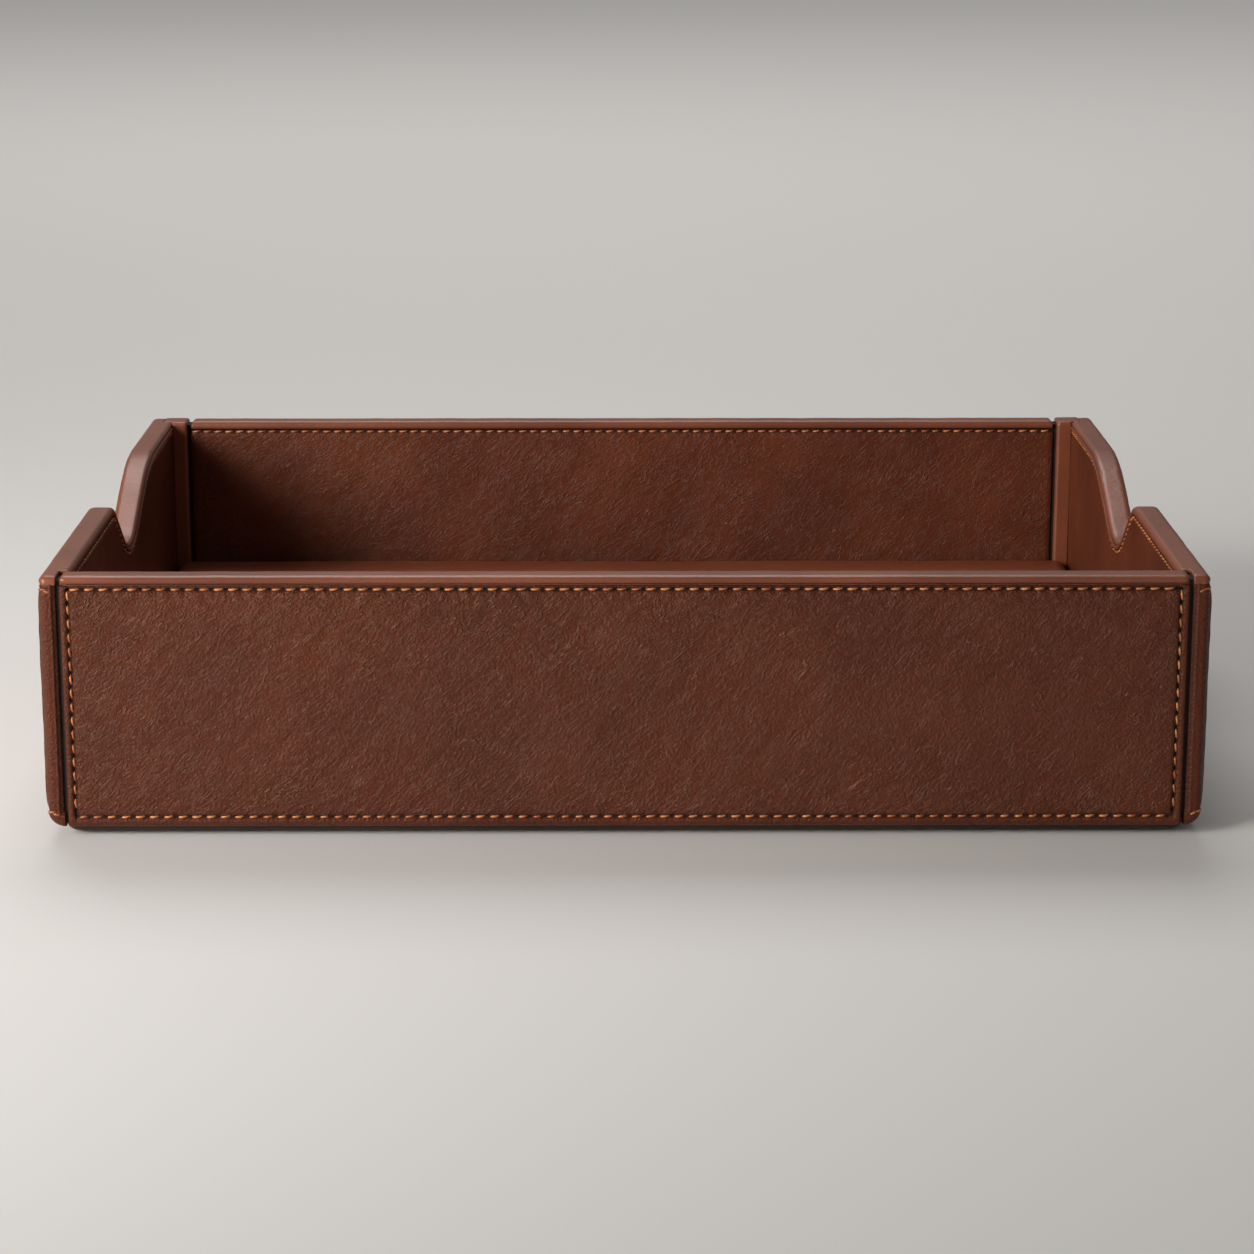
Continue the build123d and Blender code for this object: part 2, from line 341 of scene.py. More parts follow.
def leather(
    name,
    dark,
    middle,
    light,
    pebble=0.035,
    crease=0.0,
    crease_tilt=0.0,
    shine=0.42,
    gloss=0.32,
    seed=0.0,
    facing=(0.0, 0.0, 0.0),
):
    """Dyed leather: pebble grain, soft creases along one direction, cloudy colour.

    The seam attribute paints shade into stitched gutters, stitch holes and under rolled edges,
    and the crease attribute says how creased each place is. Crease lines are lightened as a
    painted highlight. The heights of the grain and creases are in millimetres.
    """
    recipe = Recipe(name)
    where = recipe.node("ShaderNodeTexCoord", output="Object")
    where = recipe.turned(where, turn=facing, shift=(seed, seed * 0.7, seed * 1.3))
    shifted = recipe.pushed(where, pebble_warp_scale, pebble_warp)
    cells = recipe.node(
        "ShaderNodeTexVoronoi",
        {"feature": "SMOOTH_F1"},
        {"Vector": shifted, "Scale": pebble_scale, "Smoothness": 0.7},
    )
    fine = recipe.cloud(where, fine_grain_scale, 2.0)
    creased = recipe.node("ShaderNodeAttribute", {"attribute_name": "crease"}, output="Fac")
    seam = recipe.node("ShaderNodeAttribute", {"attribute_name": "seam"}, output="Fac")

    bent = recipe.pushed(where, fold_bend_scale, fold_bend)
    along = recipe.turned(bent, turn=(0, crease_tilt, 0))
    along = recipe.turned(along, stretch=(fold_stretch, 1, 1))
    folds = recipe.cloud(along, fold_scale, 3.0, 0.6)
    thin_folds = recipe.cloud(along, thin_fold_scale, 2.0, 0.6)
    ridge = 1 - recipe.band(abs(folds - 0.5), 0.0, ridge_width)
    thin_ridge = 1 - recipe.band(abs(thin_folds - 0.5), 0.0, thin_ridge_width)
    patches = recipe.band(recipe.cloud(where, 55.0, 2.0), 0.4, 0.62)
    lines = (ridge * (patches + 0.3) + thin_ridge * 0.3) * creased

    height = cells * pebble * -1.6 + fine * (pebble * 0.5) + lines * crease
    height = height + (folds + thin_folds * 0.4) * crease * creased
    bump = recipe.node("ShaderNodeBump", None, {"Height": height, "Distance": mm})

    clouds = recipe.band(recipe.cloud(where, 17.0, 3.0, 0.6), 0.32, 0.68)
    colour = recipe.blend(clouds, dark, middle)
    colour = recipe.blend(recipe.band(cells, 0.3, 0.75) * 0.35, colour, dark)
    # Painted highlight: crease lines are lightened towards the light colour, standing in for light
    # catching the crease ridges.
    colour = recipe.blend(lines * 0.3, colour, light)
    # Painted shade: the seam attribute darkens gutters, stitch holes, rolled edges, cut edges and
    # the edges beside the grooves.
    colour = recipe.blend(seam * 0.92, colour, seam_shade_colour)
    rough = recipe.cloud(where, 90.0) * 0.12 + (shine - 0.06) + seam * 0.25
    return recipe.surface(
        base_color=colour,
        roughness=rough,
        normal=bump,
        specular_ior_level=gloss,
    )


base_leather = leather(
    "base_leather",
    (0.035, 0.014, 0.009, 1),
    (0.05, 0.02, 0.012, 1),
    (0.1, 0.05, 0.035, 1),
    shine=0.5,
)
fibreboard = plain_board("fibreboard", (0.47, 0.34, 0.22, 1), (0.33, 0.22, 0.13, 1))
finish_with(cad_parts["base_cover"], base_leather)
finish_with(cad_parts["base_board"], fibreboard)
base_felt = felt("base_felt", (0.008, 0.008, 0.008, 1), (0.03, 0.03, 0.03, 1))
finish_with(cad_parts["base_felt"], base_felt)

# The walls and battens.
# Fibreboard walls stand round the base plate, pinned through their corners. Softwood strips
# along their feet, stained dark, carry the floor pad. Leather hides nearly all of this.
for name in ("front", "back", "left", "right"):
    finish_with(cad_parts[name + "_wall_board"], fibreboard)
batten_wood = planed_wood("batten_wood", (0.03, 0.015, 0.009, 1), (0.018, 0.009, 0.006, 1))
for name in ("front", "back", "left", "right"):
    finish_with(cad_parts[name + "_batten"], batten_wood)
finish_with(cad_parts["corner_pins"], steel_wire("pin_steel"))

# The outer covers.
# One piece of pebbled leather on the outside of each wall, turned under the foot and sewn
# near its edges. The sewing pulls a gutter and small puckers into it.
low, high = cad_box
half_width = high.x / mm
half_depth = high.y / mm
rim_level = high.z / mm
front_low, front_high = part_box("front_outer_cover")
panel_half = front_high.x / mm
wall_foot = front_low.z / mm
seam_level = front_high.z / mm
leather_thickness = 1.3
panel_step = 0.75
stitch_pitch = 4.05
edge_roll = 0.8
top_row_level = rim_level - 3.75
end_row_inset = 2.4
bottom_row_rise = 3.3
foot_radius = 2.2
gutter_depth = 0.5
gutter_width = 0.55
hole_depth = 0.3
hole_reach = 0.5
pucker_rise = 0.5
pucker_reach = 2.6
edge_pucker = 0.07


def steps(start, end, spacing):
    """Evenly spaced values from start to end, both included."""
    count = max(1, round(abs(end - start) / spacing))
    return [start + (end - start) * i / count for i in range(count + 1)]


def rounded_drop(distance, radius):
    """How far a rolled edge falls away, at a distance in from its edge."""
    if distance >= radius:
        return 0.0
    if distance <= 0:
        return radius
    return radius - sqrt(radius * radius - (radius - distance) ** 2)


def wander(x, y, z, scale, seed):
    """Smooth random relief between about -1 and 1, with features about scale across."""
    return noise.noise(Vector((x / scale + seed, y / scale - seed, z / scale + 2 * seed)))


def sewn_relief(inside, along, seed, pitch=stitch_pitch, pucker=0.2, lean=0.45):
    """Relief across a row of stitches. Inside is the distance from the row into the panel."""
    relief = -gutter_depth * exp(-((inside / gutter_width) ** 2))
    hole_gap = ((along / pitch + 0.5) % 1 - 0.5) * pitch
    relief -= hole_depth * exp(-((hole_gap / hole_reach) ** 2 + (inside / gutter_width) ** 2))
    if inside > 0:
        fade = (1 - exp(-inside / pucker_rise)) * exp(-inside / pucker_reach)
        phase = 2 * pi * (along - lean * inside) / pitch + 3 * wander(along, seed, inside, 9, seed)
        vigour = 0.65 + 0.9 * wander(along, 0, inside, 11, seed + 5)
        relief -= pucker * cos(phase) * fade * vigour
    else:
        relief -= edge_pucker * cos(2 * pi * along / pitch) * exp(inside)
    return relief


def seam_shade(inside, along, pitch=stitch_pitch):
    """How dark the leather is beside a row of stitches, from 0 to 1."""
    hole_gap = abs((along / pitch + 0.5) % 1 - 0.5) * pitch
    line = exp(-((inside / gutter_width) ** 2))
    hole = exp(-((hole_gap / 0.6) ** 2)) * exp(-((inside / 0.75) ** 2))
    return min(1.0, 0.7 * line + 0.6 * hole)


def lay_leather(name, columns, rows, place):
    """A closed skin of leather: a grid whose rows run round the leather's own section.

    place(column, row) gives a point in millimetres, its seam shade and its creasing.
    """
    bpy.ops.object.select_all(action="DESELECT")
    bpy.ops.mesh.primitive_grid_add(
        x_subdivisions=len(columns) - 1, y_subdivisions=len(rows) - 1, size=1
    )
    piece = bpy.context.object
    piece.name = name
    shades = []
    creases = []
    for point in piece.data.vertices:
        column = columns[round((point.co.x + 0.5) * (len(columns) - 1))]
        row = rows[round((point.co.y + 0.5) * (len(rows) - 1))]
        place_mm, shade, crease = place(column, row)
        point.co = Vector(place_mm) * mm
        shades.append(shade)
        creases.append(crease)
    piece.data.attributes.new("seam", "FLOAT", "POINT").data.foreach_set("value", shades)
    piece.data.attributes.new("crease", "FLOAT", "POINT").data.foreach_set("value", creases)
    bpy.ops.object.mode_set(mode="EDIT")
    bpy.ops.mesh.select_all(action="SELECT")
    bpy.ops.mesh.remove_doubles(threshold=0.001 * mm)
    bpy.ops.mesh.select_all(action="DESELECT")
    bpy.ops.mesh.select_non_manifold()
    bpy.ops.mesh.fill_holes(sides=0)
    bpy.ops.mesh.select_all(action="SELECT")
    bpy.ops.mesh.normals_make_consistent(inside=False)
    bpy.ops.object.mode_set(mode="OBJECT")
    bpy.ops.object.shade_smooth_by_angle(angle=radians(50))
    return piece


panel_swell = 0.5
swell_reach = 2.2
broad_wave = 0.28
broad_wave_length = 30
half_diagonal = 0.7071
top_pucker = 0.24
side_pucker = 0.28
foot_pucker = 0.14
row_overrun = 0.3
hem_swell = 0.12
under_reach = 3.0
seam_shadow = 0.8
seam_shadow_reach = 0.5
rolled_rows = (0, 0.12, 0.3, 0.5, 0.75, 1.0, 1.25, 1.5, 1.8, 2.2)
rolled_columns = (0, 0.1, 0.25, 0.45, 0.7, 1.0, 1.35, 1.7, 2.0, 2.3, 2.6, 2.9, 3.3, 3.8)


def loose_skin(x, z, inside, seed):
    """Relief of the leather within the sewing: a swell, broad waves and slanting folds."""
    near_sewing = exp(-inside / 30)
    rising = (x + z) * half_diagonal
    falling = (z - x) * half_diagonal
    fold = wander(rising, 0, falling * 3.2, 13, seed + 2)
    small_fold = wander(rising, 0, falling * 2.6, 5.0, seed + 7)
    relief = panel_swell * (1 - exp(-inside / swell_reach))
    relief += broad_wave * wander(x, 0, z, broad_wave_length, seed)
    relief += (0.10 + 0.14 * near_sewing) * (fold - 0.5 * abs(fold))
    relief += (0.05 + 0.05 * near_sewing) * small_fold
    return relief - 0.02


def end_panel(name, facing, seed):
    """The front or back cover. Facing is -1 for the front and 1 for the back."""
    outer_y = half_depth
    straight_foot = wall_foot + foot_radius
    levels = [seam_level - fall for fall in rolled_rows]
    levels += steps(seam_level - 2.8, straight_foot, panel_step)
    rows = [("face", level) for level in levels]
    rows += [("foot", radians(angle)) for angle in (15, 30, 45, 60, 75, 90)]
    rows += [("under", under_reach / 2), ("under", under_reach)]
    rows += [("under inside", under_reach), ("under inside", 0.0)]
    rows += [("inside", level) for level in (straight_foot, 40.0, seam_level)]
    rows += [("face", seam_level)]
    columns = [-panel_half + inset for inset in rolled_columns]
    columns += steps(-panel_half + 4.5, panel_half - 4.5, panel_step)
    columns += [panel_half - inset for inset in reversed(rolled_columns)]
    row_left = -panel_half + end_row_inset
    row_right = panel_half - end_row_inset
    row_bottom = wall_foot + bottom_row_rise

    def place(x, row):
        kind, value = row
        side_gap = panel_half - abs(x)
        end_inside = side_gap - end_row_inset
        if kind == "inside":
            return (x, facing * (outer_y - leather_thickness), value), 0.0, 0.0
        if kind == "under inside":
            inward = foot_radius + value
            return (x, facing * (outer_y - inward), wall_foot + leather_thickness), 0.0, 0.0
        if kind == "under":
            # Painted shade on the underside of the foot.
            return (x, facing * (outer_y - foot_radius - value), wall_foot), 0.2, 0.0
        z = value if kind == "face" else straight_foot - foot_radius * sin(value)
        relief = 0.0
        shade = 0.0
        top_inside = top_row_level - z
        bottom_inside = z - row_bottom
        field = min(end_inside, top_inside, bottom_inside)
        if row_left - row_overrun < x < row_right + row_overrun:
            along = x - row_left
            relief += sewn_relief(top_inside, along, seed, pucker=top_pucker, lean=0.6)
            relief += sewn_relief(bottom_inside, along, seed + 9, pucker=foot_pucker, lean=-0.2)
            shade = max(seam_shade(top_inside, along), seam_shade(bottom_inside, along))
        if row_bottom - row_overrun < z < top_row_level + row_overrun:
            along = top_row_level - z
            relief += sewn_relief(end_inside, along, seed + 4, pucker=side_pucker, lean=0.1)
            shade = max(shade, seam_shade(end_inside, along))
        crease = 0.12
        if field > 0:
            relief += loose_skin(x, z, field, seed)
            crease = 0.35 + 0.65 * exp(-field / 26)
        elif kind == "face":
            relief += 0.05 * wander(x, 0, z, 3, seed)
            if end_inside < 0:
                relief += hem_swell * sin(pi * side_gap / end_row_inset)
        # Creasing fades from the left end to the right. Because crease lines carry a painted
        # highlight, this also paints the left end lighter.
        crease *= 1.15 - 0.45 * (x + panel_half) / (2 * panel_half)
        relief -= rounded_drop(side_gap, edge_roll)
        relief -= rounded_drop(seam_level - z, edge_roll)
        shade = max(shade, seam_shadow * exp(-((seam_level - z) / seam_shadow_reach)))
        shade = max(shade, 0.5 * exp(-side_gap / 0.25))
        if kind == "face":
            return (x, facing * (outer_y + relief), z), shade, crease
        reach = foot_radius + min(relief, 0.2)
        y = outer_y - foot_radius + reach * cos(value)
        return (x, facing * y, straight_foot - reach * sin(value)), shade, crease * 0.4

    return lay_leather(name, columns, rows, place)


panel_dark = (0.074, 0.0170, 0.0062, 1)
panel_middle = (0.100, 0.0245, 0.0092, 1)
panel_crease_highlight = (0.36, 0.15, 0.08, 1)
front_panel_leather = leather(
    "front_panel_leather",
    panel_dark,
    panel_middle,
    panel_crease_highlight,
    pebble=0.15,
    crease=0.46,
    crease_tilt=radians(45),
    gloss=0.2,
)
back_panel_leather = leather(
    "back_panel_leather",
    panel_dark,
    panel_middle,
    panel_crease_highlight,
    pebble=0.17,
    crease=0.36,
    crease_tilt=radians(40),
    seed=3.1,
    gloss=0.16,
)
for name, facing, seed, cover_leather in (
    ("front", -1, 1.7, front_panel_leather),
    ("back", 1, 6.3, back_panel_leather),
):
    panel = finish_with(end_panel(name + "_panel", facing, seed), cover_leather)
    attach(panel, "root")
    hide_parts(name + "_outer_cover")

scoop_depth = 18.4
scoop_middle = 7.0
hollow_radius = 24.0
front_shoulder = 12.0
front_flank = radians(36)
back_shoulder = 70.0
back_flank = radians(24.5)
corner_radius = 2.2
side_foot_radius = 5.0
side_end_width = 5.0
cover_drop = rim_level - seam_level
corner_y = half_depth - corner_radius


def scoop_reach(flank, shoulder):
    """How far a shoulder of this radius starts from the scoop's lowest point."""
    radii = shoulder + hollow_radius
    straight = (scoop_depth - radii * (1 - cos(flank))) / sin(flank)
    return radii * sin(flank) + straight * cos(flank)


def side_rim_line(first_y, last_y, spacing):
    """The top line of a side wall, from front to back, as points (y, z, tilt).

    Tilt is how far the line's upward normal leans back.
    """
    front_y = scoop_middle - scoop_reach(front_flank, front_shoulder)
    back_y = scoop_middle + scoop_reach(back_flank, back_shoulder)
    line = [(y, rim_level, 0.0) for y in steps(first_y, front_y, spacing)]
    middle = (front_y, rim_level - front_shoulder)
    line += arc_between(middle, front_shoulder, 0, front_flank, spacing)[1:]
    middle = (scoop_middle, rim_level - scoop_depth + hollow_radius)
    hollow = arc_between(middle, -hollow_radius, front_flank, -back_flank, spacing)
    line += straight_between(line[-1], hollow[0], spacing) + hollow[1:]
    middle = (back_y, rim_level - back_shoulder)
    shoulder = arc_between(middle, back_shoulder, -back_flank, 0, spacing)
    line += straight_between(line[-1], shoulder[0], spacing) + shoulder[1:]
    line += [(y, rim_level, 0.0) for y in steps(back_y, last_y, spacing)[1:]]
    return line


def arc_between(middle, radius, start, end, spacing):
    """Points on an arc of the rim, between two tilts. A hollow has a negative radius."""
    return [
        (middle[0] + radius * sin(tilt), middle[1] + radius * cos(tilt), tilt)
        for tilt in steps(start, end, spacing / abs(radius))
    ]


def straight_between(start, end, spacing):
    """Points after start up to end, on the straight flank between them."""
    length = sqrt((end[0] - start[0]) ** 2 + (end[1] - start[1]) ** 2)
    shares = [d / length for d in steps(0, length, spacing)[1:]]
    return [
        (start[0] + (end[0] - start[0]) * s, start[1] + (end[1] - start[1]) * s, end[2])
        for s in shares
    ]


def side_stations(drop, first_y, last_y, spacing):
    """Points (y, z, tilt, travelled) along a side wall, a drop below its rim."""
    stations = []
    travelled = 0.0
    for y, z, tilt in side_rim_line(first_y, last_y, spacing):
        y -= drop * sin(tilt)
        z -= drop * cos(tilt)
        if stations:
            before = stations[-1]
            travelled += sqrt((y - before[0]) ** 2 + (z - before[1]) ** 2)
        stations.append((y, z, tilt, travelled))
    return stations


side_row_drop = 1.15
side_arc_start = wall_foot + side_foot_radius
side_bottom_row = side_arc_start + 0.3
side_spacing = 0.8
side_rolled_rows = (*rolled_rows, 2.8, 3.5)
side_wall_rows = 66
end_row_fade = 4.5
end_edge_rise = 0.4
cut_edge_inset = 1.35
cut_edge_ridge = 0.16
cut_edge_step = 0.45


def side_columns():
    """Columns of a side cover from one end of its wall, round both corners, to the other.

    Each is (kind, facing, value, top, tilt, along), and the travelled length comes with them.
    """
    wall_run = side_stations(cover_drop, -corner_y, corner_y, side_spacing)
    columns = [("side", 0, *station) for station in wall_run]
    travelled = wall_run[-1][3]
    turns = [radians(angle) for angle in (15, 30, 45, 60, 75, 90)]
    inward = steps(0, side_end_width - corner_radius, 0.2)[1:]
    wrap = [("corner", turn, corner_radius * turn) for turn in turns]
    wrap += [("end", inset, corner_radius * pi / 2 + inset) for inset in inward]
    front = [(kind, -1, value, seam_level, 0.0, -gone) for kind, value, gone in reversed(wrap)]
    back = [(kind, 1, value, seam_level, 0.0, travelled + gone) for kind, value, gone in wrap]
    return front + columns + back, travelled


def end_edge_relief(inset, z, seed):
    """Relief and shade of the leather's cut edge, glued down on the end of the wall."""
    beyond = inset - cut_edge_inset - 0.12 * wander(0, 0, z, 7, seed + 2)
    ragged = 0.7 + wander(inset, 0, z, 1.6, seed)
    lowered = 1 / (1 + exp(-(beyond - 0.35) / 0.12))
    relief = cut_edge_ridge * exp(-((beyond / 0.26) ** 2)) * ragged
    relief -= cut_edge_step * lowered
    relief += 0.05 * wander(inset, 0, z, 1.1, seed + 1)
    relief -= rounded_drop(side_end_width - corner_radius - inset, 0.7)
    return relief, 0.45 * lowered


def side_panel(name, side, seed):
    """A side cover. It turns round both upright corners on to the ends of the wall."""
    columns, travelled = side_columns()
    rows = [("top", fall) for fall in side_rolled_rows]
    rows += [("wall", share) for share in steps(0, 1, 1 / side_wall_rows)[1:]]
    rows += [("foot", radians(angle)) for angle in steps(0, 90, 9)[1:]]
    rows += [("inner foot", radians(angle)) for angle in (90, 60, 30, 0)]
    rows += [("inner", 0.5), ("inner", 1.0), ("top", 0)]

    def place(column, row):
        kind, facing, value, top, tilt, along = column
        part, share = row
        relief = 0.0
        shade = 0.0
        crease = 0.0
        sink = leather_thickness if part.startswith("inner") else 0.0
        normal_x, normal_z = 1.0, 0.0
        gone_round = along - travelled if facing > 0 else -along
        sewn = 1.0 if kind == "side" else max(0.0, 1 - gone_round / end_row_fade)
        if part == "top":
            z = top - share / cos(tilt) + end_edge_rise * (1 - sewn) * exp(-share / 0.5)
        elif part == "wall":
            start = top - side_rolled_rows[-1] / cos(tilt)
            z = start + (side_arc_start - start) * share
        elif part == "inner":
            z = side_arc_start + (top - side_arc_start) * share
        else:
            z = side_arc_start - side_foot_radius * sin(share)
            normal_x, normal_z = cos(share), -sin(share)
        x = half_width - side_foot_radius * (1 - normal_x)
        if not sink:
            below_seam = (top - z) * cos(tilt)
            inside = below_seam - side_row_drop
            above = z - side_bottom_row
            relief += sewn * sewn_relief(inside, along, seed, lean=0.3)
            relief += sewn * sewn_relief(above, along, seed + 3, pucker=foot_pucker, lean=0.0)
            relief -= sewn * rounded_drop(below_seam, edge_roll)
            shadow = seam_shadow * exp(-below_seam / seam_shadow_reach)
            shade = sewn * max(seam_shade(inside, along), seam_shade(above, along), shadow)
            field = min(inside, above)
            crease = 0.15
            if field > 0 and kind == "side":
                relief += 0.4 * (1 - exp(-field / swell_reach))
                relief += 0.25 * wander(value, 3, z, broad_wave_length, seed)
                relief += 0.12 * wander(value + z, 0, (z - value) * 3, 14, seed)
                crease = 0.3 + 0.5 * exp(-field / 25)
            if kind == "end":
                edge_lift, edge_shade = end_edge_relief(value, z, seed)
                relief += edge_lift
                shade = max(shade, edge_shade)
        lift = relief - sink
        if kind == "side":
            return (side * (x + lift * normal_x), value, z + lift * normal_z), shade, crease
        if kind == "corner":
            radius = corner_radius + lift
            outward = -corner_radius + radius * cos(value)
            y = facing * (corner_y + radius * sin(value))
        else:
            outward = -corner_radius - value
            y = facing * (half_depth + lift)
        return (side * (x + outward * normal_x), y, z + outward * normal_z), shade, crease

    return lay_leather(name, columns, rows, place)


side_panel_leather = leather(
    "side_panel_leather",
    panel_dark,
    panel_middle,
    panel_crease_highlight,
    pebble=0.14,
    crease=0.28,
    seed=5.3,
    gloss=0.18,
    facing=(0, 0, pi / 2),
    crease_tilt=radians(40),
)
for name, side, seed in (("left", -1, 2.9), ("right", 1, 8.1)):
    panel = finish_with(side_panel(name + "_panel", side, seed), side_panel_leather)
    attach(panel, "root")
    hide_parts(name + "_outer_cover")

# The rim bindings and corner straps.
# Smooth leather folded over the top of each wall and glued down before the sewing, and a
# strap of the same leather up each back corner. The folds are a little uneven.


def soften(name, node, voxel, relief):
    """A leather piece in the place of a CAD node: an even mesh, moved by relief(point, normal)."""
    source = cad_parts[node]
    piece = bpy.data.objects.new(name, source.data.copy())
    bpy.context.scene.collection.objects.link(piece)
    bpy.ops.object.select_all(action="DESELECT")
    piece.select_set(True)
    bpy.context.view_layer.objects.active = piece
    bpy.ops.object.mode_set(mode="EDIT")
    bpy.ops.mesh.select_all(action="SELECT")
    bpy.ops.mesh.remove_doubles(threshold=0.001 * mm)
    bpy.ops.object.mode_set(mode="OBJECT")
    even = piece.modifiers.new("even", "REMESH")
    even.mode = "VOXEL"
    even.voxel_size = voxel * mm
    even.adaptivity = 0
    bpy.ops.object.modifier_apply(modifier="even")
    smooth = piece.modifiers.new("smooth", "SMOOTH")
    smooth.factor = 0.5
    smooth.iterations = 3
    bpy.ops.object.modifier_apply(modifier="smooth")
    normals = [point.normal.copy() for point in piece.data.vertices]
    shades = []
    for point, normal in zip(piece.data.vertices, normals):
        lift, shade = relief(point.co / mm, normal)
        point.co += normal * (lift * mm)
        shades.append(shade)
    piece.data.attributes.new("seam", "FLOAT", "POINT").data.foreach_set("value", shades)
    piece.data.attributes.new("crease", "FLOAT", "POINT")
    bpy.ops.object.shade_smooth()
    return piece


rim_leather = leather(
    "rim_leather",
    (0.155, 0.042, 0.019, 1),
    (0.215, 0.062, 0.028, 1),
    (0.4, 0.19, 0.11, 1),
    pebble=0.014,
    shine=0.38,
    gloss=0.45,
    seed=1.4,
)
rim_line = side_rim_line(-half_depth, half_depth, 1.0)
rim_tuck = 0.5
rim_tuck_starts = 1.0
rim_tuck_reach = 1.6
rim_roll = 0.2
rim_roll_drop = 1.0
rim_roll_width = 0.7
rim_shade = 0.65
rim_shade_starts = 1.5
rim_shade_fade = 1.1
bead_height = 0.5
bead_drop = 2.15
bead_width = 0.36
bead_starts = -20
bead_full = -4
fold_depth = 0.3
fold_drop = 1.5
fold_width = 0.22


def drop_below_rim(y, z):
    """How far a point of a side wall lies below its rim, square to the rim."""
    for before, after in zip(rim_line, rim_line[1:]):
        if after[0] >= y:
            break
    share = min(1.0, max(0.0, (y - before[0]) / (after[0] - before[0])))
    top = before[1] + (after[1] - before[1]) * share
    return (top - z) * cos(before[2] + (after[2] - before[2]) * share)


def rim_relief(seed, inward):
    """Relief of a binding or strap. Inward is the way from the wall to the tray's middle.

    The outer leg tucks in under the seam. Inside the side walls, a bead runs along the inner
    leg behind the front shoulder.
    """

    def relief(point, normal):
        lift = 0.07 * wander(point.x, point.y, point.z, 9, seed)
        lift += 0.025 * wander(point.x, point.y, point.z, 1.5, seed)
        drop = drop_below_rim(point.y, point.z) if inward.x else rim_level - point.z
        facing = normal.dot(inward)
        if facing < -0.5:
            lift -= rim_tuck * max(0.0, (drop - rim_tuck_starts) / rim_tuck_reach) ** 2
            if not inward.x:
                lift += rim_roll * exp(-(((drop - rim_roll_drop) / rim_roll_width) ** 2))
        shade = 0.0
        if abs(facing) > 0.5:
            shade = rim_shade * max(0.0, min(1.0, (drop - rim_shade_starts) / rim_shade_fade))
        if inward.x and facing > 0.5:
            beaded = min(1.0, max(0.0, (point.y - bead_starts) / (bead_full - bead_starts)))
            bead = exp(-(((drop - bead_drop) / bead_width) ** 2))
            fold = exp(-(((drop - fold_drop) / fold_width) ** 2))
            lift += beaded * (bead_height * bead - fold_depth * fold)
            shade = shade * (1 - beaded) + beaded * 0.85 * fold
        return lift, shade

    return relief


rim_voxel = 0.4
fine_rim_voxel = 0.32
inward_ways = {
    "front": Vector((0, 1, 0)),
    "back": Vector((0, -1, 0)),
    "left": Vector((1, 0, 0)),
    "right": Vector((-1, 0, 0)),
}
for name, seed in (("front", 0.3), ("back", 4.4), ("left", 7.7), ("right", 9.2)):
    inward = inward_ways[name]
    size = fine_rim_voxel if inward.x else rim_voxel
    binding = soften(name + "_rim", name + "_rim_binding", size, rim_relief(seed, inward))
    finish_with(binding, rim_leather)
    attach(binding, "root")
    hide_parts(name + "_rim_binding")
for name, seed in (("left", 3.3), ("right", 5.8)):
    relief = rim_relief(seed, Vector((0, 0, 0)))
    strap = soften(name + "_strap", name + "_corner_strap", rim_voxel, relief)
    finish_with(strap, rim_leather)
    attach(strap, "root")
    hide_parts(name + "_corner_strap")

# The linings.
# Thin smooth leather glued inside each wall, sewn close under the rim. The back one has
# larger, softer wrinkles than the outside of the tray.
lining_leather = leather(
    "lining_leather",
    (0.080, 0.0190, 0.0075, 1),
    (0.124, 0.0310, 0.0120, 1),
    (0.3, 0.12, 0.065, 1),
    pebble=0.08,
    crease=0.4,
    crease_tilt=radians(40),
    gloss=0.22,
    shine=0.42,
    seed=2.2,
)
lining_low, lining_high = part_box("back_lining")
lining_top = lining_high.z / mm
lining_foot = lining_low.z / mm
inner_y = lining_low.y / mm
inner_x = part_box("right_lining")[0].x / mm
lining_thickness = 1.3
lining_row_drop = 0.6
lining_pitch = 3.8
lining_step = 0.95
lining_wave = 0.22
wrinkle = 0.20
small_wrinkle = 0.09
rolled_lining_rows = (0, 0.12, 0.3, 0.5, 0.75, 1.0, 1.3, 1.7, 2.3, 3.2)
lining_wall_rows = 34


def lining_relief(inside, along, x, y, z, seed, wrinkled):
    """Relief, seam shade and creasing of a lining, below and above its row of stitches."""
    below_seam = inside + lining_row_drop
    relief = 0.75 * sewn_relief(inside, along, seed, pitch=lining_pitch, pucker=0.12)
    relief -= rounded_drop(below_seam, 0.5)
    relief += lining_wave * wander(x, y, z, 32, seed)
    if wrinkled:
        relief += wrinkle * wander(x + z, 0, (z - x) * 2.4, 20, seed + 3)
        relief += small_wrinkle * wander(x + z, 0, (z - x) * 2.6, 8, seed + 6)
    shade = max(seam_shade(inside, along, lining_pitch), 0.8 * exp(-below_seam / 0.4))
    return relief, shade, (0.5 if wrinkled else 0.12)


lining_rows = [("top", fall) for fall in rolled_lining_rows]
lining_rows += [("wall", share) for share in steps(0, 1, 1 / lining_wall_rows)[1:]]
lining_rows += [("inner", 1.0), ("inner", 0.0), ("top", 0)]
lining_stations = side_stations(rim_level - lining_top, -inner_y, inner_y, lining_step)


def lining_level(row, top, tilt):
    """The height of a lining's row of points, under a seam at top."""
    part, share = row
    start = top - rolled_lining_rows[-1] / cos(tilt)
    if part == "top":
        return top - share / cos(tilt)
    if part == "wall":
        return start + (lining_foot - start) * share
    return top + (lining_foot - top) * share


def end_lining(name, facing, half, seed):
    """The front or back lining, half as long on each side of the middle."""

    def place(x, row):
        z = lining_level(row, lining_top, 0.0)
        if row[0] == "inner":
            return (x, facing * (inner_y + lining_thickness), z), 0.0, 0.0
        inside = lining_top - z - lining_row_drop
        relief, shade, crease = lining_relief(inside, x + half, x, 0, z, seed, True)
        relief -= rounded_drop(half - abs(x), 0.6)
        return (x, facing * (inner_y - relief), z), shade, crease

    return lay_leather(name, steps(-half, half, lining_step), lining_rows, place)


